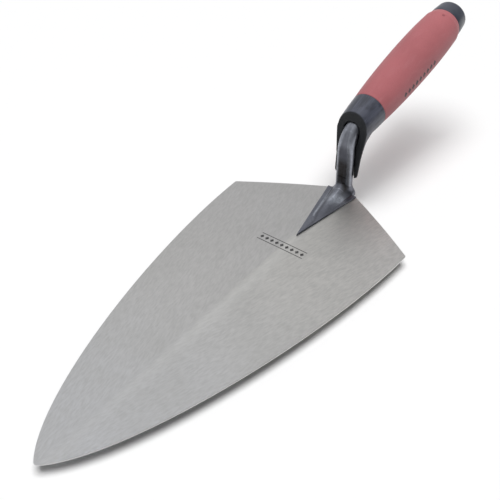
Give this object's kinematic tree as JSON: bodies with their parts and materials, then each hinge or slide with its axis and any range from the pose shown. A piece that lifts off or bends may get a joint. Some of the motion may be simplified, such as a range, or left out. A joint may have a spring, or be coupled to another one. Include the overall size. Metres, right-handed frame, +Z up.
{
  "type": "brick trowel",
  "caption": "Pointed ground-steel blade with a spear-footed forged shank, finger guard and soft grip, for spreading mortar.",
  "frame": {"origin": "on the blade's flat underside, on its centre line, at its widest station across the shoulders", "axes": "+Y from the blade's point towards the handle's butt, +Z up out of the blade's top face, +X across the blade, right-handed with the other two"},
  "size_m": [0.1396, 0.4244, 0.0922],
  "materials": {
    "ground_steel": "ground, satin, fine diagonal grinding lines",
    "forged_steel": "dark forged scale, lightly polished edges",
    "core_plastic": "fine moulded texture",
    "soft_grip": "matt soft overmould",
    "cap_plastic": "smooth moulded, slight sheen"
  },
  "bodies": {
    "root": {"blade": "ground_steel", "shank": "forged_steel", "handle_core": "core_plastic", "grip_sleeve": "soft_grip", "butt_cap": "cap_plastic"}
  },
  "joints": []
}
